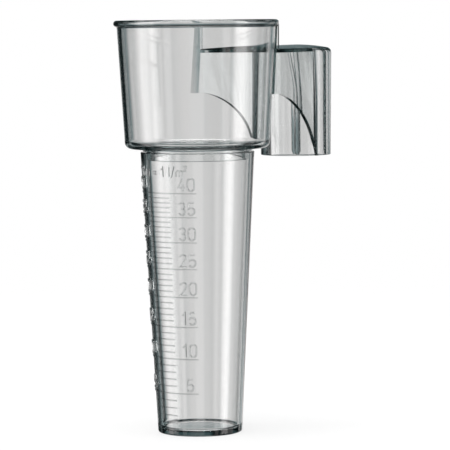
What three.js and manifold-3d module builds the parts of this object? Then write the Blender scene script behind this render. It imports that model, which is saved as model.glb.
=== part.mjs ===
// A manual rain gauge: a clear measuring tube with a round collector plugged into its mouth.
// The collector is one moulding with a round post sleeve, two side webs and a crowned roof.
// Millimetres. +Z is up, the origin is the middle of the tube's flat base, the post sleeve lies at +X.
import * as THREE from 'three';
import { mergeVertices } from 'three/addons/utils/BufferGeometryUtils.js';
import ManifoldModule from 'manifold-3d';

// Measuring tube
const TUBE_HEIGHT = 137.7;
const TUBE_BASE_RADIUS = 20.7;
const TUBE_TOP_RADIUS = 27.8;
const TUBE_BASE_WALL = 2.1;
const TUBE_TOP_WALL = 2.3;
const TUBE_FLOOR = 2.45;
const TUBE_BASE_ROUND = 1;
const TUBE_LIP_ROUND = 0.5;
const TUBE_INNER_ROUND = 2;

// Collector cup
const CUP_FLOOR_BOTTOM = 139.2;
const CUP_FLOOR = 2.3;
const CUP_TOP = 201.7;
const CUP_BOTTOM_RADIUS = 35.45;
const CUP_TOP_RADIUS = 38.9;
const CUP_WALL = 2.1;
const CUP_CORNER_ROUND = 3.2;
const CUP_INNER_ROUND = 2;
const RIM_RADIUS = 40.4;
const RIM_HEIGHT = 3.2;
const MOUTH_ROUND = 0.5;

// Neck: a collar that rests over the tube's mouth, and a spigot that reaches down into it
const FIT_GAP = 0.3;
const COLLAR_RADIUS = 26.6;
const NECK_BORE_RADIUS = 23;
const NECK_MOUTH_ROUND = 1.5;
const SPIGOT_DEPTH = 4;

// Post sleeve
const SLEEVE_X = 71.9;
const SLEEVE_BOTTOM = 133.2;
const SLEEVE_BOTTOM_RADIUS = 17.7;
const SLEEVE_TOP_RADIUS = 18.4;
const SLEEVE_BORE_RADIUS = 15.5;
const GRIP_RIB_COUNT = 4;
const GRIP_RIB_WIDTH = 3;
const GRIP_RIB_HEIGHT = 1.2;
const GRIP_RIB_LEAD = 2.4;

// Roof over the sleeve and the webs, crowned, with an edge that grows rounder towards the sleeve
const ROOF_UNDERSIDE = 185.3;
const ROOF_EDGE = 187;
const CROWN_RISE = 1.2;
const CROWN_START_ROUND = 0.4;
const CROWN_END_ROUND = 1.6;
const DOME_RISE = 1.9;
const DOME_ROUND = 2.2;

// Side webs. A half width is measured from the middle plane to a web's outer face, at the gauge's axis.
const WEB_START_X = 22;
const WEB_END_X = 70.6;
const WEB_THICKNESS = 2.2;
const WEB_HALF_WIDTH_TOP = 33.25;
const WEB_HALF_WIDTH_BOTTOM = 32.65;
const WEB_SLOPE = 0.215;
const GUSSET_X = 30.5;
const ARCH_START_X = 29.3;
const ARCH_END_X = 67;
const ARCH_TOP = 165.2;
const ARCH_POWER = 1.7;

const ROUND_SEGMENTS = 96;
const SLEEVE_SEGMENTS = 72;
const GRIP_RIB_SEGMENTS = 24;
const ARC_STEPS = 6;
const ARCH_STEPS = 16;
const DOME_STEPS = 10;
const CROWN_STEPS = 24;
const JOIN_OVERLAP = 0.5;

const wasm = await ManifoldModule();
wasm.setup();

// Booleans

function toManifold(geometry) {
  const plain = geometry.clone();
  plain.deleteAttribute('normal');
  plain.deleteAttribute('uv');
  const merged = mergeVertices(plain, 1e-4);
  return new wasm.Manifold(new wasm.Mesh({
    numProp: 3,
    vertProperties: new Float32Array(merged.attributes.position.array),
    triVerts: new Uint32Array(merged.index.array),
  }));
}

function toGeometry(solid) {
  const mesh = solid.getMesh();
  const indexed = new THREE.BufferGeometry();
  indexed.setAttribute('position', new THREE.BufferAttribute(mesh.vertProperties, 3));
  indexed.setIndex(new THREE.BufferAttribute(mesh.triVerts, 1));
  const faceted = indexed.toNonIndexed();
  faceted.computeVertexNormals();
  return faceted;
}

function joinAll(solids) {
  return solids.reduce((joined, solid) => joined.add(solid));
}

// Outlines

function point(r, z) {
  return new THREE.Vector2(r, z);
}

// Points of a round corner in an (r, z) outline, from one angle to another about its centre, in degrees
function arc(centreR, centreZ, radius, fromDegrees, toDegrees) {
  const points = [];
  for (let step = 0; step <= ARC_STEPS; step += 1) {
    const angle = THREE.MathUtils.degToRad(fromDegrees + ((toDegrees - fromDegrees) * step) / ARC_STEPS);
    points.push(point(centreR + radius * Math.cos(angle), centreZ + radius * Math.sin(angle)));
  }
  return points;
}

// A solid of revolution about Z from an (r, z) outline that runs anticlockwise
function turned(points, segments = ROUND_SEGMENTS) {
  const geometry = new THREE.LatheGeometry(points, segments);
  geometry.rotateX(Math.PI / 2);
  return toManifold(geometry);
}

// A flat shape given as a list of [first, second] corners
function polygon(corners) {
  return new THREE.Shape(corners.map(([first, second]) => point(first, second)));
}

// Measuring tube

function tubeOuterRadius(z) {
  return TUBE_BASE_RADIUS + ((TUBE_TOP_RADIUS - TUBE_BASE_RADIUS) * z) / TUBE_HEIGHT;
}

function tubeInnerRadius(z) {
  const wall = TUBE_BASE_WALL + ((TUBE_TOP_WALL - TUBE_BASE_WALL) * z) / TUBE_HEIGHT;
  return tubeOuterRadius(z) - wall;
}

function measuringTube() {
  const baseRound = TUBE_BASE_ROUND;
  const lipRound = TUBE_LIP_ROUND;
  const innerRound = TUBE_INNER_ROUND;
  return turned([
    point(0, 0),
    ...arc(TUBE_BASE_RADIUS - baseRound, baseRound, baseRound, -90, 0),
    ...arc(TUBE_TOP_RADIUS - lipRound, TUBE_HEIGHT - lipRound, lipRound, 0, 90),
    point(tubeInnerRadius(TUBE_HEIGHT), TUBE_HEIGHT),
    ...arc(tubeInnerRadius(TUBE_FLOOR) - innerRound, TUBE_FLOOR + innerRound, innerRound, 0, -90),
    point(0, TUBE_FLOOR),
  ]);
}

// Collector cup

function cupOuterRadius(z) {
  const rise = (z - CUP_FLOOR_BOTTOM) / (CUP_TOP - CUP_FLOOR_BOTTOM);
  return CUP_BOTTOM_RADIUS + (CUP_TOP_RADIUS - CUP_BOTTOM_RADIUS) * rise;
}

function cupInnerRadius(z) {
  return cupOuterRadius(z) - CUP_WALL;
}

// The cup's inside from the mouth down to the neck
function cupInnerOutline() {
  const floorTop = CUP_FLOOR_BOTTOM + CUP_FLOOR;
  const round = CUP_INNER_ROUND;
  const mouthRound = NECK_MOUTH_ROUND;
  return [
    ...arc(cupInnerRadius(CUP_TOP) + MOUTH_ROUND, CUP_TOP - MOUTH_ROUND, MOUTH_ROUND, 90, 180),
    ...arc(cupInnerRadius(floorTop) - round, floorTop + round, round, 0, -90),
    ...arc(NECK_BORE_RADIUS + mouthRound, floorTop - mouthRound, mouthRound, 90, 180),
  ];
}

// The cup with its rim bead, floor, collar and spigot
function cup() {
  const rimRound = RIM_HEIGHT / 2;
  const rimBottom = CUP_TOP - RIM_HEIGHT;
  const corner = CUP_CORNER_ROUND;
  const collarBottom = TUBE_HEIGHT + FIT_GAP;
  const spigotBottom = TUBE_HEIGHT - SPIGOT_DEPTH;
  return turned([
    point(NECK_BORE_RADIUS, spigotBottom),
    point(tubeInnerRadius(spigotBottom) - FIT_GAP, spigotBottom),
    point(tubeInnerRadius(TUBE_HEIGHT) - FIT_GAP, collarBottom),
    point(COLLAR_RADIUS, collarBottom),
    point(COLLAR_RADIUS, CUP_FLOOR_BOTTOM),
    ...arc(cupOuterRadius(CUP_FLOOR_BOTTOM) - corner, CUP_FLOOR_BOTTOM + corner, corner, -90, 0),
    point(cupOuterRadius(rimBottom), rimBottom),
    ...arc(RIM_RADIUS - rimRound, CUP_TOP - rimRound, rimRound, -90, 90),
    ...cupInnerOutline(),
    point(NECK_BORE_RADIUS, spigotBottom),
  ]);
}

// Everything inside the middle of the cup's wall, which trims the holder where it meets the cup
function cupCore() {
  const below = CUP_FLOOR_BOTTOM - 1;
  const halfWall = CUP_WALL / 2;
  return turned([
    point(0, below),
    point(cupOuterRadius(below) - halfWall, below),
    point(cupOuterRadius(CUP_TOP) - halfWall, CUP_TOP),
    point(0, CUP_TOP),
  ]);
}

// Post sleeve

// Height of the crowned roof's top, at a share of its half width out from its middle. Its edge is rounded off.
function roofTop(share, halfWidth, rise, round) {
  const intoEdge = Math.max(0, round - halfWidth * (1 - Math.abs(share)));
  const drop = round - Math.sqrt(round ** 2 - intoEdge ** 2);
  return ROOF_EDGE + rise * (1 - share ** 2) - drop;
}

function domedSleeve() {
  const dome = [];
  for (let step = DOME_STEPS; step >= 0; step -= 1) {
    const share = Math.sin(((Math.PI / 2) * step) / DOME_STEPS);
    dome.push(point(share * SLEEVE_TOP_RADIUS, roofTop(share, SLEEVE_TOP_RADIUS, DOME_RISE, DOME_ROUND)));
  }
  return turned([
    point(0, SLEEVE_BOTTOM),
    point(SLEEVE_BOTTOM_RADIUS, SLEEVE_BOTTOM),
    ...dome,
  ], SLEEVE_SEGMENTS);
}

function sleeveBore() {
  return turned([
    point(0, SLEEVE_BOTTOM - 1),
    point(SLEEVE_BORE_RADIUS, SLEEVE_BOTTOM - 1),
    point(SLEEVE_BORE_RADIUS, ROOF_UNDERSIDE),
    point(0, ROOF_UNDERSIDE),
  ], SLEEVE_SEGMENTS);
}

// An upright round rib inside the sleeve that grips the post, with a tapered lead-in at the bottom
function gripRib(angle) {
  const ribRadius = GRIP_RIB_WIDTH / 2;
  const offset = SLEEVE_BORE_RADIUS - GRIP_RIB_HEIGHT + ribRadius;
  const rib = turned([
    point(0, SLEEVE_BOTTOM + JOIN_OVERLAP),
    point(ribRadius / 2, SLEEVE_BOTTOM + JOIN_OVERLAP),
    point(ribRadius, SLEEVE_BOTTOM + GRIP_RIB_LEAD),
    point(ribRadius, ROOF_UNDERSIDE + JOIN_OVERLAP),
    point(0, ROOF_UNDERSIDE + JOIN_OVERLAP),
  ], GRIP_RIB_SEGMENTS);
  return rib.translate([offset * Math.cos(angle), offset * Math.sin(angle), 0]);
}

function gripRibs() {
  const ribs = [];
  for (let index = 0; index < GRIP_RIB_COUNT; index += 1) {
    ribs.push(gripRib(((index + 0.5) * 2 * Math.PI) / GRIP_RIB_COUNT));
  }
  return joinAll(ribs);
}

// Webs and roof

function webOuterHalfWidth(x, z) {
  const rise = (z - SLEEVE_BOTTOM) / (ROOF_UNDERSIDE - SLEEVE_BOTTOM);
  const atAxis = WEB_HALF_WIDTH_BOTTOM + (WEB_HALF_WIDTH_TOP - WEB_HALF_WIDTH_BOTTOM) * rise;
  return atAxis - WEB_SLOPE * x;
}

function webInnerHalfWidth(x, z) {
  return webOuterHalfWidth(x, z) - WEB_THICKNESS * Math.hypot(1, WEB_SLOPE);
}

// The arch under a web, from its top beside the cup down to the foot at the sleeve
function archPoints() {
  const length = ARCH_END_X - ARCH_START_X;
  const height = ARCH_TOP - SLEEVE_BOTTOM;
  const points = [];
  for (let step = 0; step <= ARCH_STEPS; step += 1) {
    const turn = ((Math.PI / 2) * step) / ARCH_STEPS;
    const along = Math.sin(turn) ** (2 / ARCH_POWER);
    const up = Math.cos(turn) ** (2 / ARCH_POWER);
    points.push([ARCH_START_X + length * along, SLEEVE_BOTTOM + height * up]);
  }
  return points;
}

// The web at +Y: an arch below, the roof above, and a gusset up to the rim beside the cup
function web() {
  const rimMiddle = CUP_TOP - RIM_HEIGHT / 2;
  const roofInside = ROOF_EDGE - CROWN_END_ROUND;
  const shape = polygon([
    [WEB_START_X, ARCH_TOP],
    ...archPoints(),
    [WEB_END_X, SLEEVE_BOTTOM],
    [WEB_END_X, roofInside],
    [GUSSET_X, roofInside],
    [GUSSET_X, rimMiddle],
    [WEB_START_X, rimMiddle],
  ]);
  const geometry = new THREE.ExtrudeGeometry(shape, { depth: 1, bevelEnabled: false });
  geometry.rotateX(Math.PI / 2);
  const position = geometry.attributes.position;
  for (let index = 0; index < position.count; index += 1) {
    const x = position.getX(index);
    const z = position.getZ(index);
    const isOuter = position.getY(index) > -0.5;
    position.setY(index, isOuter ? webOuterHalfWidth(x, z) : webInnerHalfWidth(x, z));
  }
  return toManifold(geometry);
}

// The roof between the webs: flat below, crowned above from edge to edge, and running on into the dome
function roof() {
  const endRise = DOME_RISE * (1 - ((SLEEVE_X - WEB_END_X) / SLEEVE_TOP_RADIUS) ** 2);
  const geometry = new THREE.BoxGeometry(1, 2, 1, 1, CROWN_STEPS, 1);
  const position = geometry.attributes.position;
  for (let index = 0; index < position.count; index += 1) {
    const atSleeve = position.getX(index) > 0;
    const share = Math.sin((position.getY(index) * Math.PI) / 2);
    const x = atSleeve ? WEB_END_X : WEB_START_X;
    const rise = atSleeve ? endRise : CROWN_RISE;
    const round = atSleeve ? CROWN_END_ROUND : CROWN_START_ROUND;
    const halfWidth = webOuterHalfWidth(x, ROOF_UNDERSIDE);
    const top = roofTop(share, halfWidth, rise, round);
    position.setXYZ(index, x, share * halfWidth, position.getZ(index) > 0 ? top : ROOF_UNDERSIDE);
  }
  return toManifold(geometry);
}

function postHolder() {
  const place = [SLEEVE_X, 0, 0];
  const nearWeb = web();
  const farWeb = nearWeb.mirror([0, 1, 0]);
  const outside = joinAll([domedSleeve().translate(place), nearWeb, farWeb, roof()]);
  const trimmed = outside.subtract(sleeveBore().translate(place)).subtract(cupCore());
  return trimmed.add(gripRibs().translate(place));
}

// Parts

const CLEAR_PLASTIC = { color: 0xd3d8d4, roughness: 0.08, metalness: 0 };

function part(name, solid) {
  const mesh = new THREE.Mesh(toGeometry(solid), new THREE.MeshStandardMaterial(CLEAR_PLASTIC));
  mesh.name = name;
  return mesh;
}

const gauge = new THREE.Group();
gauge.add(part('measuring_tube', measuringTube()));
gauge.add(part('collector', cup().add(postHolder())));

export default gauge;
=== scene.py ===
"""Looks of the clear rain gauge: fine meshes for the two CAD nodes, clear plastic, studio and camera.

Lengths are in metres, in the frame of the CAD model. Outlines are lists of (radius, height) points.
"""
import math

import bmesh
import bpy
from mathutils import Matrix, Vector


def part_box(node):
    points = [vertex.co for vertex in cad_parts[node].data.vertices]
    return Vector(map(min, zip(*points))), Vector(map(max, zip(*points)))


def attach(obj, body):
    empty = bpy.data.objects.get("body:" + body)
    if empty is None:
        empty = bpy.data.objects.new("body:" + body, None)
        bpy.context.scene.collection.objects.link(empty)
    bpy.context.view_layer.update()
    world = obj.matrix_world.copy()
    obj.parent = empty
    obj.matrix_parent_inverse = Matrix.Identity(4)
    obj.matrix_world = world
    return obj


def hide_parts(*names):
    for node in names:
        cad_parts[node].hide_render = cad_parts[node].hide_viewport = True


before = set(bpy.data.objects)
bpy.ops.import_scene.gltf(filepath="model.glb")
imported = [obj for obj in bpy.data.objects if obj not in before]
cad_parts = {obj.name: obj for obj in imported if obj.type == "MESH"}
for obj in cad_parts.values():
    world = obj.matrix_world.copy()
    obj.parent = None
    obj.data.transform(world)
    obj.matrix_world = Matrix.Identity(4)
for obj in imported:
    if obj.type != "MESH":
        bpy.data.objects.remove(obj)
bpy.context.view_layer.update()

MM = 0.001

# What the CAD model fixes
TUBE_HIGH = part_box("measuring_tube")[1]
COLLECTOR_LOW, COLLECTOR_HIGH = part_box("collector")
TUBE_HEIGHT = TUBE_HIGH.z
TUBE_TOP_RADIUS = TUBE_HIGH.y
CUP_TOP = COLLECTOR_HIGH.z
RIM_RADIUS = COLLECTOR_HIGH.y
SLEEVE_BOTTOM = COLLECTOR_LOW.z

# Measuring tube
TUBE_BASE_RADIUS = 20.7 * MM
TUBE_BASE_WALL = 2.1 * MM
TUBE_TOP_WALL = 2.3 * MM
TUBE_FLOOR = 2.45 * MM
TUBE_BASE_ROUND = 1.0 * MM
TUBE_LIP_ROUND = 0.5 * MM
TUBE_INNER_ROUND = 2.0 * MM

# Collector cup
CUP_FLOOR_BOTTOM = 139.2 * MM
CUP_FLOOR = 2.3 * MM
CUP_BOTTOM_RADIUS = 35.45 * MM
CUP_TOP_RADIUS = 38.9 * MM
CUP_WALL = 2.1 * MM
CUP_CORNER_ROUND = 3.2 * MM
CUP_INNER_ROUND = 2.0 * MM
RIM_HEIGHT = 3.2 * MM
RIM_FILLET = 0.6 * MM
MOUTH_ROUND = 0.5 * MM

# Neck
FIT_GAP = 0.3 * MM
COLLAR_RADIUS = 26.6 * MM
COLLAR_FILLET = 0.6 * MM
NECK_BORE_RADIUS = 23.0 * MM
NECK_MOUTH_ROUND = 1.5 * MM
SPIGOT_BOTTOM = TUBE_HEIGHT - 4.0 * MM
SPIGOT_EDGE_ROUND = 0.4 * MM

# Post sleeve
SLEEVE_BOTTOM_RADIUS = 17.7 * MM
SLEEVE_TOP_RADIUS = 18.4 * MM
SLEEVE_X = COLLECTOR_HIGH.x - SLEEVE_TOP_RADIUS
SLEEVE_BORE_RADIUS = 15.5 * MM
SLEEVE_LIP_ROUND = 0.3 * MM
GRIP_RIB_COUNT = 4
GRIP_RIB_WIDTH = 3.0 * MM
GRIP_RIB_HEIGHT = 1.2 * MM
GRIP_RIB_LEAD = 2.4 * MM

# Roof and webs. A half width is measured from the middle plane to a web's outer face, at the gauge's axis.
ROOF_UNDERSIDE = 185.3 * MM
ROOF_EDGE = 187.0 * MM
CROWN_RISE = 1.2 * MM
CROWN_START_ROUND = 0.4 * MM
CROWN_END_ROUND = 1.6 * MM
DOME_RISE = 1.9 * MM
DOME_ROUND = 2.2 * MM
WEB_START_X = 22.0 * MM
WEB_END_X = 70.6 * MM
WEB_THICKNESS = 2.2 * MM
WEB_HALF_WIDTH_TOP = 33.25 * MM
WEB_HALF_WIDTH_BOTTOM = 32.65 * MM
WEB_SLOPE = 0.215
GUSSET_X = 30.5 * MM
ARCH_START_X = 29.3 * MM
ARCH_END_X = 67.0 * MM
ARCH_TOP = 165.2 * MM
ARCH_POWER = 1.7

# Raised scale: rain depths in millimetres, angles in degrees from the scale's middle
CATCH_RADIUS = 36.95 * MM
SCALE_MIDDLE = 177
SCALE_TOP = 40
LONG_LINE_STEP = 5
LONG_LINE_HALF_ANGLE = 45.5
SHORT_LINE_HALF_ANGLE = 15.5
LINE_WIDTH = 0.5 * MM
LINE_HEIGHT = 0.35 * MM
MARK_SINK = 0.4 * MM
STROKE_SHOULDER_SHARE = 0.3
STROKE_TOP_SHARE = 0.5
NUMBER_ANGLE = 35
NUMBER_HEIGHT = 6.0 * MM
NUMBER_LIFT = 1.3 * MM
UNIT_TEXT = "1 mm = 1 l/m²"
UNIT_HEIGHT = 4.6 * MM
UNIT_BASE = 126.6 * MM
GLYPH_LINE_WIDTH = 0.7 * MM
GLYPH_LINE_HEIGHT = 0.45 * MM
CHARACTER_GAP = 0.2
LINE_STEP_ANGLE = 1.3

# How finely round shapes are divided
ROUND_SEGMENTS = 288
SLEEVE_SEGMENTS = 192
ARC_STEPS = 8
ARCH_STEPS = 48
DOME_STEPS = 32
CROWN_STEPS = 64
GRIP_RIB_SEGMENTS = 48

# How solids are joined and shaded
OVERLAP = 0.5 * MM
WELD_DISTANCE = 0.0001 * MM
SHARP_ANGLE = math.radians(28)


# Outlines


def arc(centre_r, centre_z, radius, start, end, steps=ARC_STEPS):
    """Points of a round corner, from one angle to another about its centre, in degrees."""
    points = []
    for step in range(steps + 1):
        angle = math.radians(start + (end - start) * step / steps)
        points.append((centre_r + radius * math.cos(angle), centre_z + radius * math.sin(angle)))
    return points


def tube_outer_radius(z):
    return TUBE_BASE_RADIUS + (TUBE_TOP_RADIUS - TUBE_BASE_RADIUS) * z / TUBE_HEIGHT


def tube_inner_radius(z):
    wall = TUBE_BASE_WALL + (TUBE_TOP_WALL - TUBE_BASE_WALL) * z / TUBE_HEIGHT
    return tube_outer_radius(z) - wall


def tube_outline():
    base = TUBE_BASE_ROUND
    lip = TUBE_LIP_ROUND
    inner = TUBE_INNER_ROUND
    return [
        (0, 0),
        *arc(TUBE_BASE_RADIUS - base, base, base, -90, 0),
        *arc(TUBE_TOP_RADIUS - lip, TUBE_HEIGHT - lip, lip, 0, 90),
        *arc(tube_inner_radius(TUBE_HEIGHT) + lip, TUBE_HEIGHT - lip, lip, 90, 180),
        *arc(tube_inner_radius(TUBE_FLOOR) - inner, TUBE_FLOOR + inner, inner, 0, -90),
        (0, TUBE_FLOOR),
    ]


def cup_outer_radius(z):
    rise = (z - CUP_FLOOR_BOTTOM) / (CUP_TOP - CUP_FLOOR_BOTTOM)
    return CUP_BOTTOM_RADIUS + (CUP_TOP_RADIUS - CUP_BOTTOM_RADIUS) * rise


def cup_inner_radius(z):
    return cup_outer_radius(z) - CUP_WALL


def cup_outline():
    """The cup with its rim bead, floor, collar and spigot, as a closed loop."""
    floor_top = CUP_FLOOR_BOTTOM + CUP_FLOOR
    rim_round = RIM_HEIGHT / 2
    rim_bottom = CUP_TOP - RIM_HEIGHT
    corner = CUP_CORNER_ROUND
    collar_bottom = TUBE_HEIGHT + FIT_GAP
    spigot_edge = SPIGOT_EDGE_ROUND
    collar = COLLAR_FILLET
    return [
        *arc(tube_inner_radius(SPIGOT_BOTTOM) - FIT_GAP - spigot_edge, SPIGOT_BOTTOM + spigot_edge,
             spigot_edge, -90, 0),
        (tube_inner_radius(TUBE_HEIGHT) - FIT_GAP, collar_bottom),
        (COLLAR_RADIUS, collar_bottom),
        *arc(COLLAR_RADIUS + collar, CUP_FLOOR_BOTTOM - collar, collar, 180, 90),
        *arc(cup_outer_radius(CUP_FLOOR_BOTTOM) - corner, CUP_FLOOR_BOTTOM + corner, corner, -90, 0),
        *arc(cup_outer_radius(rim_bottom) + RIM_FILLET, rim_bottom - RIM_FILLET, RIM_FILLET, 180, 90),
        *arc(RIM_RADIUS - rim_round, CUP_TOP - rim_round, rim_round, -90, 90, 2 * ARC_STEPS),
        *arc(cup_inner_radius(CUP_TOP) + MOUTH_ROUND, CUP_TOP - MOUTH_ROUND, MOUTH_ROUND, 90, 180),
        *arc(cup_inner_radius(floor_top) - CUP_INNER_ROUND, floor_top + CUP_INNER_ROUND,
             CUP_INNER_ROUND, 0, -90),
        *arc(NECK_BORE_RADIUS + NECK_MOUTH_ROUND, floor_top - NECK_MOUTH_ROUND, NECK_MOUTH_ROUND, 90, 180),
        (NECK_BORE_RADIUS, SPIGOT_BOTTOM),
    ]


def cup_core_outline():
    """Everything inside the middle of the cup's wall, which trims the holder where it meets the cup."""
    below = CUP_FLOOR_BOTTOM - MM
    half_wall = CUP_WALL / 2
    return [
        (0, below),
        (cup_outer_radius(below) - half_wall, below),
        (cup_outer_radius(CUP_TOP) - half_wall, CUP_TOP),
        (0, CUP_TOP),
    ]


def roof_top(share, half_width, rise, edge_round):
    """Height of the crowned roof's top, at a share of its half width out from its middle."""
    into_edge = max(0, edge_round - half_width * (1 - abs(share)))
    drop = edge_round - math.sqrt(edge_round ** 2 - into_edge ** 2)
    return ROOF_EDGE + rise * (1 - share ** 2) - drop


def sleeve_outline():
    """The post sleeve's outside, closed above by a low dome with a rounded shoulder."""
    lip = SLEEVE_LIP_ROUND
    dome = []
    for step in range(DOME_STEPS, -1, -1):
        share = math.sin(math.pi / 2 * step / DOME_STEPS)
        height = roof_top(share, SLEEVE_TOP_RADIUS, DOME_RISE, DOME_ROUND)
        dome.append((share * SLEEVE_TOP_RADIUS, height))
    return [
        (0, SLEEVE_BOTTOM),
        *arc(SLEEVE_BOTTOM_RADIUS - lip, SLEEVE_BOTTOM + lip, lip, -90, 0),
        *dome,
    ]


def sleeve_bore_outline():
    return [
        (0, SLEEVE_BOTTOM - MM),
        (SLEEVE_BORE_RADIUS, SLEEVE_BOTTOM - MM),
        (SLEEVE_BORE_RADIUS, ROOF_UNDERSIDE),
        (0, ROOF_UNDERSIDE),
    ]


# Meshes


def make_object(name, bm):
    """An object of a bmesh, with its faces turned outwards."""
    bmesh.ops.recalc_face_normals(bm, faces=bm.faces)
    mesh = bpy.data.meshes.new(name)
    bm.to_mesh(mesh)
    bm.free()
    made = bpy.data.objects.new(name, mesh)
    bpy.context.scene.collection.objects.link(made)
    return made


def turned(name, outline, segments, centre_x=0.0):
    """A solid of revolution. Its outline starts and ends on the axis, or is a closed loop off it."""
    bm = bmesh.new()
    rings = []
    for radius, z in outline:
        if radius < 1e-9:
            rings.append([bm.verts.new((centre_x, 0, z))])
            continue
        ring = []
        for index in range(segments):
            angle = 2 * math.pi * index / segments
            ring.append(bm.verts.new((centre_x + radius * math.cos(angle), radius * math.sin(angle), z)))
        rings.append(ring)
    pairs = list(zip(rings, rings[1:]))
    if len(rings[0]) > 1:
        pairs.append((rings[-1], rings[0]))
    for low, high in pairs:
        for index in range(segments):
            following = (index + 1) % segments
            corners = [low[index % len(low)], low[following % len(low)],
                       high[following % len(high)], high[index % len(high)]]
            bm.faces.new(list(dict.fromkeys(corners)))
    return make_object(name, bm)


def skinned(name, sections, closed=False):
    """A closed solid through a row, or a ring, of cross-sections with the same number of points."""
    bm = bmesh.new()
    rows = [[bm.verts.new(point) for point in section] for section in sections]
    count = len(rows[0])
    pairs = list(zip(rows, rows[1:]))
    if closed:
        pairs.append((rows[-1], rows[0]))
    for row, following in pairs:
        for index in range(count):
            after = (index + 1) % count
            bm.faces.new((row[index], row[after], following[after], following[index]))
    if not closed:
        bm.faces.new(rows[0])
        bm.faces.new(rows[-1])
    return make_object(name, bm)


def joined_loose(name, objects):
    """One object holding several solids that don't touch."""
    bm = bmesh.new()
    for part in objects:
        bm.from_mesh(part.data)
        bpy.data.objects.remove(part)
    return make_object(name, bm)


def combine(target, tool, operation):
    """Joins or cuts target with tool, and removes tool."""
    modifier = target.modifiers.new("combine", "BOOLEAN")
    modifier.operation = operation
    modifier.solver = "MANIFOLD"
    modifier.object = tool
    evaluated = target.evaluated_get(bpy.context.evaluated_depsgraph_get())
    mesh = bpy.data.meshes.new_from_object(evaluated)
    target.modifiers.clear()
    target.data = mesh
    bpy.data.objects.remove(tool)
    return target


def smooth(made):
    """Welds vertices that lie on each other and shades smoothly except at real edges."""
    bm = bmesh.new()
    bm.from_mesh(made.data)
    bmesh.ops.remove_doubles(bm, verts=bm.verts, dist=WELD_DISTANCE)
    bmesh.ops.dissolve_degenerate(bm, edges=bm.edges, dist=WELD_DISTANCE)
    bm.to_mesh(made.data)
    bm.free()
    made.data.polygons.foreach_set("use_smooth", [True] * len(made.data.polygons))
    made.data.set_sharp_from_angle(angle=SHARP_ANGLE)
    return made


# Measuring tube and its scale


def mark_height(depth):
    """Height in the tube of a depth of rain in millimetres: the cup's catch fills the tapered bore."""
    slope = (tube_inner_radius(TUBE_HEIGHT) - tube_inner_radius(0)) / TUBE_HEIGHT
    floor_radius = tube_inner_radius(TUBE_FLOOR)
    filled = floor_radius ** 3 + 3 * slope * CATCH_RADIUS ** 2 * depth * MM
    return (filled ** (1 / 3) - tube_inner_radius(0)) / slope


def on_tube(angle, z, lift):
    """A point at an angle in degrees from the scale's middle, lifted off the tube's outside."""
    turn = math.radians(SCALE_MIDDLE + angle)
    radius = tube_outer_radius(z) + lift
    return (radius * math.cos(turn), radius * math.sin(turn), z)


def raised_stroke(path, angle, base, width=LINE_WIDTH, height=LINE_HEIGHT, closed=False):
    """A raised stroke with sloping sides along a path of (along, up) points, wrapped on the tube."""
    half = width / 2
    top_half = STROKE_TOP_SHARE * half
    shoulder = STROKE_SHOULDER_SHARE * height
    profile = [(-MARK_SINK, -half), (shoulder, -half), (height, -top_half),
               (height, top_half), (shoulder, half), (-MARK_SINK, half)]
    points = [Vector(point) for point in path]
    radius = tube_outer_radius(base)
    sections = []
    for index, point in enumerate(points):
        before = points[index - 1] if index > 0 or closed else point
        after = points[(index + 1) % len(points)] if index + 1 < len(points) or closed else point
        arriving = (point - before).normalized()
        leaving = (after - point).normalized()
        heading = (arriving + leaving).normalized()
        mitre = 1 / max(0.5, heading.dot(leaving if after is not point else arriving))
        sideways = Vector((-heading.y, heading.x)) * mitre
        section = []
        for lift, side in profile:
            along, up = point + sideways * side
            section.append(on_tube(angle + math.degrees(along / radius), base + up, lift))
        sections.append(section)
    return skinned("stroke", sections, closed)


def scale_line(z, half_angle):
    """A line of the scale, level round part of the tube."""
    reach = math.radians(half_angle) * tube_outer_radius(z)
    steps = max(2, round(half_angle / LINE_STEP_ANGLE))
    return raised_stroke([(reach * step / steps, 0) for step in range(-steps, steps + 1)], 0, z)


def letter_m():
    """Strokes of a small m: its stem and two arches."""
    strokes = [([(0, 0), (0, 0.66)], False)]
    for start in (0, 0.34):
        arch = arc(start + 0.17, 0.46, 0.17, 170, 0)
        strokes.append(([(start, 0.36), *arch, (start + 0.34, 0)], False))
    return strokes


def glyph(character):
    """Strokes of a character one unit high, as (points, closed), and how far the next one stands."""
    if character == "0":
        return [([*arc(0.27, 0.73, 0.27, 0, 180), *arc(0.27, 0.27, 0.27, 180, 360)], True)], 0.78
    if character == "1":
        return [([(0.06, 0.76), (0.28, 1), (0.28, 0)], False)], 0.6
    if character == "2":
        return [([*arc(0.27, 0.73, 0.27, 165, -40), (0, 0), (0.56, 0)], False)], 0.78
    if character == "3":
        upper = arc(0.27, 0.76, 0.24, 155, -90)
        lower = arc(0.27, 0.26, 0.26, 90, -155)
        return [(upper, False), (lower, False)], 0.78
    if character == "4":
        return [([(0.36, 1), (0, 0.3), (0.56, 0.3)], False), ([(0.4, 0.55), (0.4, 0)], False)], 0.78
    if character == "5":
        return [([(0.5, 1), (0.08, 1), (0.04, 0.5), *arc(0.25, 0.3, 0.29, 128, -145)], False)], 0.78
    if character == "m":
        return letter_m(), 0.9
    if character == "l":
        return [([(0.05, 0), (0.05, 1)], False)], 0.3
    if character == "/":
        return [([(0, -0.1), (0.36, 1.1)], False)], 0.55
    if character == "=":
        return [([(0, 0.24), (0.45, 0.24)], False), ([(0, 0.5), (0.45, 0.5)], False)], 0.75
    if character == "²":
        small = [(0.5 * x, 0.62 + 0.5 * y) for x, y in glyph("2")[0][0][0]]
        return [(small, False)], 0.4
    return [], 0.38


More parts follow.
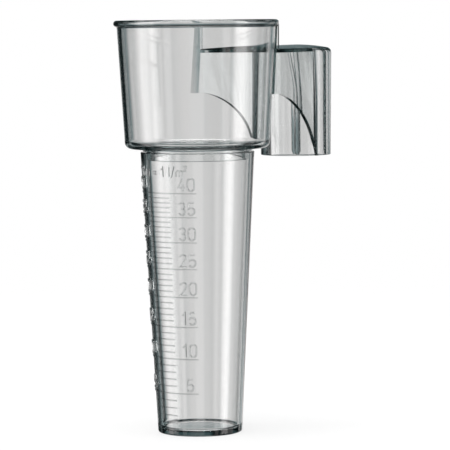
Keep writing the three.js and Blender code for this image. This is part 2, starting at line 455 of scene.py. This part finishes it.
def raised_text(body, height, angle, base, layers):
    """Adds raised characters on the tube, centred on an angle, standing on a height. A glyph's strokes may
    cross, so each goes into a layer of its own."""
    length = sum(glyph(character)[1] for character in body) - CHARACTER_GAP
    start = -length / 2
    for character in body:
        strokes, advance = glyph(character)
        for layer, (points, closed) in zip(layers, strokes):
            path = [((start + x) * height, y * height) for x, y in points]
            layer.append(raised_stroke(path, angle, base, GLYPH_LINE_WIDTH, GLYPH_LINE_HEIGHT, closed))
        start += advance


def scale_marks():
    """The scale's raised marks, in layers of solids that don't touch each other."""
    layers = [[], [], []]
    for depth in range(SCALE_TOP + 1):
        is_long = depth % LONG_LINE_STEP == 0 and depth > 0
        half_angle = LONG_LINE_HALF_ANGLE if is_long else SHORT_LINE_HALF_ANGLE
        layers[0].append(scale_line(mark_height(depth), half_angle))
        if is_long:
            for side in (-1, 1):
                base = mark_height(depth) + NUMBER_LIFT
                raised_text(str(depth), NUMBER_HEIGHT, side * NUMBER_ANGLE, base, layers)
    raised_text(UNIT_TEXT, UNIT_HEIGHT, 0, UNIT_BASE, layers)
    return [joined_loose("scale_marks", layer) for layer in layers]


def make_tube():
    tube = turned("clear_measuring_tube", tube_outline(), ROUND_SEGMENTS)
    for layer in scale_marks():
        combine(tube, layer, "UNION")
    return smooth(tube)


# Collector


def web_outer_half_width(x, z):
    rise = (z - SLEEVE_BOTTOM) / (ROOF_UNDERSIDE - SLEEVE_BOTTOM)
    at_axis = WEB_HALF_WIDTH_BOTTOM + (WEB_HALF_WIDTH_TOP - WEB_HALF_WIDTH_BOTTOM) * rise
    return at_axis - WEB_SLOPE * x


def web_inner_half_width(x, z):
    return web_outer_half_width(x, z) - WEB_THICKNESS * math.hypot(1, WEB_SLOPE)


def arch_points():
    """The arch under a web, from its top beside the cup down to the foot at the sleeve."""
    length = ARCH_END_X - ARCH_START_X
    height = ARCH_TOP - SLEEVE_BOTTOM
    points = []
    for step in range(ARCH_STEPS + 1):
        turn = math.pi / 2 * step / ARCH_STEPS
        along = math.sin(turn) ** (2 / ARCH_POWER)
        up = math.cos(turn) ** (2 / ARCH_POWER) if step < ARCH_STEPS else 0
        points.append((ARCH_START_X + length * along, SLEEVE_BOTTOM + height * up))
    return points


def web(side):
    """One side web: an arch below, the roof above, and a gusset up to the rim beside the cup."""
    rim_middle = CUP_TOP - RIM_HEIGHT / 2
    roof_inside = ROOF_EDGE - CROWN_END_ROUND
    outline = [
        (WEB_START_X, ARCH_TOP),
        *arch_points(),
        (WEB_END_X, SLEEVE_BOTTOM),
        (WEB_END_X, roof_inside),
        (GUSSET_X, roof_inside),
        (GUSSET_X, rim_middle),
        (WEB_START_X, rim_middle),
    ]
    outer = [(x, side * web_outer_half_width(x, z), z) for x, z in outline]
    inner = [(x, side * web_inner_half_width(x, z), z) for x, z in outline]
    return skinned("web", [inner, outer])


def roof_section(x, rise, edge_round):
    """The roof across the webs at x: flat below, crowned above, with rounded edges."""
    half = web_outer_half_width(x, ROOF_UNDERSIDE)
    shares = [math.sin(math.pi / 2 * (1 - 2 * step / CROWN_STEPS)) for step in range(CROWN_STEPS + 1)]
    top = [(x, share * half, roof_top(share, half, rise, edge_round)) for share in shares]
    return [(x, half, ROOF_UNDERSIDE), *top, (x, -half, ROOF_UNDERSIDE)]


def roof():
    end_share = (SLEEVE_X - WEB_END_X) / SLEEVE_TOP_RADIUS
    end_rise = DOME_RISE * (1 - end_share ** 2)
    return skinned("roof", [
        roof_section(WEB_START_X, CROWN_RISE, CROWN_START_ROUND),
        roof_section(WEB_END_X, end_rise, CROWN_END_ROUND),
    ])


def grip_rib(angle):
    """An upright round rib inside the sleeve that grips the post, with a tapered lead-in at the bottom."""
    radius = GRIP_RIB_WIDTH / 2
    offset = SLEEVE_BORE_RADIUS - GRIP_RIB_HEIGHT + radius
    outline = [
        (0, SLEEVE_BOTTOM + OVERLAP),
        (radius / 2, SLEEVE_BOTTOM + OVERLAP),
        (radius, SLEEVE_BOTTOM + GRIP_RIB_LEAD),
        (radius, ROOF_UNDERSIDE + OVERLAP),
        (0, ROOF_UNDERSIDE + OVERLAP),
    ]
    rib = turned("grip_rib", outline, GRIP_RIB_SEGMENTS)
    place = Vector((SLEEVE_X + offset * math.cos(angle), offset * math.sin(angle), 0))
    rib.data.transform(Matrix.Translation(place))
    return rib


def grip_ribs():
    angles = [(index + 0.5) * 2 * math.pi / GRIP_RIB_COUNT for index in range(GRIP_RIB_COUNT)]
    return joined_loose("grip_ribs", [grip_rib(angle) for angle in angles])


def make_holder():
    holder = turned("holder", sleeve_outline(), SLEEVE_SEGMENTS, SLEEVE_X)
    for piece in (web(1), web(-1), roof()):
        combine(holder, piece, "UNION")
    combine(holder, turned("bore", sleeve_bore_outline(), SLEEVE_SEGMENTS, SLEEVE_X), "DIFFERENCE")
    combine(holder, turned("core", cup_core_outline(), ROUND_SEGMENTS), "DIFFERENCE")
    return combine(holder, grip_ribs(), "UNION")


def make_collector():
    cup = turned("clear_collector", cup_outline(), ROUND_SEGMENTS)
    return smooth(combine(cup, make_holder(), "UNION"))


# Materials


class Nodes:
    """Adds nodes to a tree, sets their inputs and links them."""

    def __init__(self, tree):
        self.tree = tree
        self.tree.nodes.clear()

    def add(self, kind, inputs=None, **settings):
        node = self.tree.nodes.new(kind)
        for name, value in settings.items():
            setattr(node, name, value)
        for name, value in (inputs or {}).items():
            if isinstance(value, bpy.types.NodeSocket):
                self.tree.links.new(value, node.inputs[name])
            else:
                node.inputs[name].default_value = value
        return node

    def math(self, operation, first, second=0.0, third=0.0):
        node = self.add("ShaderNodeMath", {0: first, 1: second, 2: third}, operation=operation)
        return node.outputs[0]

    def step(self, value, low, high, to_low=0.0, to_high=1.0):
        """A soft step of a value between two limits."""
        node = self.add(
            "ShaderNodeMapRange",
            {"Value": value, "From Min": low, "From Max": high, "To Min": to_low, "To Max": to_high},
            interpolation_type="SMOOTHSTEP",
        )
        return node.outputs["Result"]

    def noise(self, place, scale, detail=2.0):
        node = self.add("ShaderNodeTexNoise", {"Vector": place, "Scale": scale, "Detail": detail})
        return node.outputs["Fac"]


# The band of a noise is where its scratches or haze start and where they are full.
PLASTIC_IOR = 1.57
PLASTIC_ABSORPTION_COLOUR = (0.28, 0.42, 0.42, 1)
PLASTIC_ABSORPTION_DENSITY = 45.0
CLEAN_TINT = (1.0, 1.0, 1.0, 1)
HAZY_TINT = (0.9, 0.9, 0.88, 1)
RIPPLE_SCALE = 55.0
RIPPLE_DEPTH = 0.6 * MM
RIPPLE_STRENGTH = 0.03
SCRATCH_SCALE = 420.0
SCRATCH_BAND = (0.66, 0.72)
SCRATCH_DEPTH = 0.02 * MM
SCRATCH_STRENGTH = 0.05
SCRATCH_ROUGHNESS = 0.03
HAZE_SCALE = 38.0
HAZE_BAND = (0.45, 0.75)
HAZE_ROUGHNESS = 0.035
TUBE_SCRATCH_STRETCH = (1, 1, 0.05)
COLLECTOR_SCRATCH_STRETCH = (1, 1, 0.2)


def clear_plastic(name, scratch_stretch):
    """Clear moulded plastic, slightly smoky, with flow ripples, fine scratches and faint handling haze."""
    material = bpy.data.materials.new(name)
    material.use_nodes = True
    nodes = Nodes(material.node_tree)
    place = nodes.add("ShaderNodeTexCoord").outputs["Object"]
    stretched = nodes.add("ShaderNodeMapping", {"Vector": place, "Scale": scratch_stretch}).outputs["Vector"]
    ripple = nodes.noise(place, RIPPLE_SCALE, 1.0)
    scratches = nodes.step(nodes.noise(stretched, SCRATCH_SCALE, 3.0), *SCRATCH_BAND)
    haze = nodes.step(nodes.noise(place, HAZE_SCALE, 5.0), *HAZE_BAND, 0.0, HAZE_ROUGHNESS)
    roughness = nodes.math("ADD", haze, nodes.math("MULTIPLY", scratches, SCRATCH_ROUGHNESS))
    ripple_bump = nodes.add("ShaderNodeBump", {
        "Strength": RIPPLE_STRENGTH, "Distance": RIPPLE_DEPTH, "Height": ripple})
    bump = nodes.add("ShaderNodeBump", {
        "Strength": SCRATCH_STRENGTH, "Distance": SCRATCH_DEPTH, "Height": scratches,
        "Normal": ripple_bump.outputs[0]})
    tint = nodes.add("ShaderNodeMix", {"Factor": haze, "A": CLEAN_TINT, "B": HAZY_TINT}, data_type="RGBA")
    shader = nodes.add("ShaderNodeBsdfPrincipled", {
        "Roughness": roughness, "IOR": PLASTIC_IOR, "Transmission Weight": 1.0, "Normal": bump.outputs[0]})
    nodes.tree.links.new(tint.outputs["Result"], shader.inputs["Base Color"])
    volume = nodes.add("ShaderNodeVolumeAbsorption", {
        "Color": PLASTIC_ABSORPTION_COLOUR, "Density": PLASTIC_ABSORPTION_DENSITY})
    nodes.add("ShaderNodeOutputMaterial", {"Surface": shader.outputs[0], "Volume": volume.outputs[0]})
    return material


# Studio. Angles are in degrees. A fade is the pair of angles where a share is none and where it is full.

FLOOR_RADIUS = 0.8
FLOOR_FADE_START = 0.2
FLOOR_CLEAR_SHARE = 0.75
FLOOR_COLOUR = (0.9, 0.9, 0.9, 1)
KEY_LIGHT_SIZE = 1.6
KEY_LIGHT_HEIGHT = 1.8
KEY_LIGHT_POWER = 42.0

WINDOW_AZIMUTH = 45.0
WINDOW_SPACING = 90.0
WIDE_WINDOW_SOFT_FADE = (-45.0, -12.0)
WIDE_WINDOW_SHARP_FADE = (13.5, 7.0)
NARROW_WINDOW_FADE = (7.5, 4.5)
DARK_SIDE_AZIMUTH = 92.0
DARK_SIDE_FADE = (22.0, 34.0)
DARK_SIDE_NARROW_SHARE = 0.4
WINDOW_BOTTOM_FADE = (-30.0, -22.0)
BRIGHT_BAND_FADE = (5.0, 1.5)
BRIGHT_BAND_SHARE = 0.7
PALE_BAND_FADE = (18.0, 12.0)
GROUND_FADE = (-45.0, -60.0)
CEILING_FADE = (45.0, 65.0)
PANEL_BOTTOM = -30.0
PANEL_TOP = 40.0
RIGHT_PANEL = {"middle": -66.0, "half_width": 10.0, "soft": 5.0}
LEFT_PANEL = {"middle": 144.0, "half_width": 16.0, "soft": 6.0}

WINDOW_LEVEL = 0.76
PANEL_LEVEL = 2.0
GAP_LEVEL = 0.015
NEUTRAL_LEVEL = 0.6
WINDOW_COLOUR = (1.0, 0.97, 0.965, 1)
GAP_COLOUR = (0.6, 0.95, 1.0, 1)


def pale_floor():
    """A round pale floor, mostly clear, that keeps a faint shadow and fades into the background. Rays
    through the plastic pass it and see the studio instead."""
    bm = bmesh.new()
    bmesh.ops.create_circle(bm, cap_ends=True, radius=FLOOR_RADIUS, segments=96)
    floor = make_object("floor", bm)
    material = bpy.data.materials.new("pale_floor")
    material.use_nodes = True
    nodes = Nodes(material.node_tree)
    place = nodes.add("ShaderNodeTexCoord").outputs["Object"]
    distance = nodes.add("ShaderNodeVectorMath", {0: place}, operation="LENGTH").outputs["Value"]
    fade = nodes.step(distance, FLOOR_FADE_START, FLOOR_RADIUS, FLOOR_CLEAR_SHARE, 1.0)
    diffuse = nodes.add("ShaderNodeBsdfDiffuse", {"Color": FLOOR_COLOUR})
    clear = nodes.add("ShaderNodeBsdfTransparent")
    mix = nodes.add("ShaderNodeMixShader", {0: fade, 1: diffuse.outputs[0], 2: clear.outputs[0]})
    nodes.add("ShaderNodeOutputMaterial", {"Surface": mix.outputs[0]})
    floor.data.materials.append(material)
    floor.visible_transmission = False
    floor.visible_glossy = False


def key_light():
    """A large soft light overhead."""
    light = bpy.data.lights.new("key_light", "AREA")
    light.shape = "DISK"
    light.size = KEY_LIGHT_SIZE
    light.energy = KEY_LIGHT_POWER
    lamp = bpy.data.objects.new("key_light", light)
    lamp.location = (0, 0, KEY_LIGHT_HEIGHT)
    lamp.visible_camera = False
    lamp.visible_transmission = False
    bpy.context.scene.collection.objects.link(lamp)


def panel(nodes, azimuth, elevation, middle, half_width, soft):
    """How much of a soft upright panel a direction sees."""
    turn = nodes.math("WRAP", nodes.math("SUBTRACT", azimuth, middle), 180.0, -180.0)
    across = nodes.step(nodes.math("ABSOLUTE", turn), half_width + soft, half_width - soft)
    bottom = nodes.step(elevation, PANEL_BOTTOM - soft, PANEL_BOTTOM + soft)
    top = nodes.step(elevation, PANEL_TOP + soft, PANEL_TOP - soft)
    return nodes.math("MULTIPLY", across, nodes.math("MULTIPLY", bottom, top))


def windows(nodes, azimuth, elevation):
    """How much of the windows a direction sees: wide ones on the diagonals and narrow ones on the axes, both
    dimmed on the dark side, bright below the horizon and paler just above it."""
    half_spacing = WINDOW_SPACING / 2
    offset = nodes.math("WRAP", nodes.math("SUBTRACT", azimuth, WINDOW_AZIMUTH), half_spacing, -half_spacing)
    wide = nodes.math("MULTIPLY", nodes.step(offset, *WIDE_WINDOW_SOFT_FADE),
                      nodes.step(offset, *WIDE_WINDOW_SHARP_FADE))
    narrow = nodes.step(nodes.math("PINGPONG", azimuth, half_spacing), *NARROW_WINDOW_FADE)
    from_dark_side = nodes.math("ABSOLUTE", nodes.math("SUBTRACT", azimuth, DARK_SIDE_AZIMUTH))
    wide = nodes.math("MULTIPLY", wide, nodes.step(from_dark_side, *DARK_SIDE_FADE))
    narrow = nodes.math("MULTIPLY", narrow,
                        nodes.step(from_dark_side, *DARK_SIDE_FADE, DARK_SIDE_NARROW_SHARE, 1.0))
    across = nodes.math("MAXIMUM", wide, narrow)
    bright_band = nodes.math("MULTIPLY", nodes.step(elevation, *BRIGHT_BAND_FADE), BRIGHT_BAND_SHARE)
    pale_band = nodes.math("MULTIPLY", nodes.step(elevation, *PALE_BAND_FADE), 1 - BRIGHT_BAND_SHARE)
    up = nodes.math("MULTIPLY", nodes.step(elevation, *WINDOW_BOTTOM_FADE),
                    nodes.math("ADD", bright_band, pale_band))
    return nodes.math("MULTIPLY", across, up)


def studio_level(nodes, azimuth, elevation):
    """How bright the studio is in a direction."""
    ground = nodes.step(elevation, *GROUND_FADE)
    ceiling = nodes.step(elevation, *CEILING_FADE)
    open_share = nodes.math("MAXIMUM", windows(nodes, azimuth, elevation),
                            nodes.math("MAXIMUM", ground, ceiling))
    base = nodes.math("MULTIPLY_ADD", open_share, WINDOW_LEVEL, GAP_LEVEL)
    right = panel(nodes, azimuth, elevation, **RIGHT_PANEL)
    left = panel(nodes, azimuth, elevation, **LEFT_PANEL)
    return nodes.math("MULTIPLY_ADD", nodes.math("MAXIMUM", right, left), PANEL_LEVEL, base)


def studio_world():
    """A plain pale background. In reflections and through the plastic it is a studio: bright windows all
    round with dark gaps between them, which draw the dark edges of clear plastic, and two side panels."""
    world = bpy.data.worlds.new("studio")
    world.use_nodes = True
    bpy.context.scene.world = world
    nodes = Nodes(world.node_tree)
    direction = nodes.add("ShaderNodeTexCoord").outputs["Generated"]
    parts = nodes.add("ShaderNodeSeparateXYZ", {0: direction}).outputs
    azimuth = nodes.math("DEGREES", nodes.math("ARCTAN2", parts["Y"], parts["X"]))
    elevation = nodes.math("DEGREES", nodes.math("ARCSINE", parts["Z"]))
    level = studio_level(nodes, azimuth, elevation)
    neutral_share = nodes.step(level, GAP_LEVEL, NEUTRAL_LEVEL)
    colour = nodes.add("ShaderNodeMix", {"Factor": neutral_share, "A": GAP_COLOUR, "B": WINDOW_COLOUR},
                       data_type="RGBA")
    studio = nodes.add("ShaderNodeBackground", {"Strength": level})
    nodes.tree.links.new(colour.outputs["Result"], studio.inputs["Color"])
    plain = nodes.add("ShaderNodeBackground", {"Color": (1, 1, 1, 1), "Strength": 1.0})
    is_camera = nodes.add("ShaderNodeLightPath").outputs["Is Camera Ray"]
    mix = nodes.add("ShaderNodeMixShader", {0: is_camera, 1: studio.outputs[0], 2: plain.outputs[0]})
    nodes.add("ShaderNodeOutputWorld", {"Surface": mix.outputs[0]})


# Camera

CAMERA_DISTANCE = 1327.2 * MM
CAMERA_HEIGHT = 199.6 * MM
CAMERA_SIDESTEP = -23.3 * MM
CAMERA_LENS = 217.5
CAMERA_TURN = math.radians(1.572)
CAMERA_PITCH = math.radians(4.231)
CAMERA_ROLL = math.radians(-0.563)
VIEW_HEADING = math.radians(45)


def make_camera():
    """The camera looks along the heading, from eye height with the rim, tipped down a little."""
    up = Vector((0, 0, 1))
    right = Vector((math.cos(VIEW_HEADING), -math.sin(VIEW_HEADING), 0))
    away = Vector((math.sin(VIEW_HEADING), math.cos(VIEW_HEADING), 0))
    place = right * CAMERA_SIDESTEP - away * CAMERA_DISTANCE + up * CAMERA_HEIGHT
    turned_right = right * math.cos(CAMERA_TURN) - away * math.sin(CAMERA_TURN)
    turned_away = right * math.sin(CAMERA_TURN) + away * math.cos(CAMERA_TURN)
    forward = turned_away * math.cos(CAMERA_PITCH) - up * math.sin(CAMERA_PITCH)
    upright = turned_away * math.sin(CAMERA_PITCH) + up * math.cos(CAMERA_PITCH)
    x_axis = turned_right * math.cos(CAMERA_ROLL) + upright * math.sin(CAMERA_ROLL)
    y_axis = upright * math.cos(CAMERA_ROLL) - turned_right * math.sin(CAMERA_ROLL)
    camera = bpy.data.objects.new("camera", bpy.data.cameras.new("camera"))
    camera.data.lens = CAMERA_LENS
    camera.data.clip_start = 0.05
    camera.data.clip_end = 50
    camera.matrix_world = Matrix((
        (x_axis.x, y_axis.x, -forward.x, place.x),
        (x_axis.y, y_axis.y, -forward.y, place.y),
        (x_axis.z, y_axis.z, -forward.z, place.z),
        (0, 0, 0, 1),
    ))
    bpy.context.scene.collection.objects.link(camera)
    bpy.context.scene.camera = camera


def set_colour_and_bounces():
    scene = bpy.context.scene
    scene.view_settings.view_transform = "Standard"
    scene.cycles.max_bounces = 32
    scene.cycles.transmission_bounces = 32
    scene.cycles.glossy_bounces = 16


def place_piece(piece, node, body, material):
    piece.data.materials.clear()
    piece.data.materials.append(material)
    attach(piece, body)
    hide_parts(node)


make_camera()
set_colour_and_bounces()
studio_world()
pale_floor()
key_light()
tube_plastic = clear_plastic("clear_tube_plastic", TUBE_SCRATCH_STRETCH)
collector_plastic = clear_plastic("clear_collector_plastic", COLLECTOR_SCRATCH_STRETCH)
place_piece(make_tube(), "measuring_tube", "tube", tube_plastic)
place_piece(make_collector(), "collector", "collector", collector_plastic)
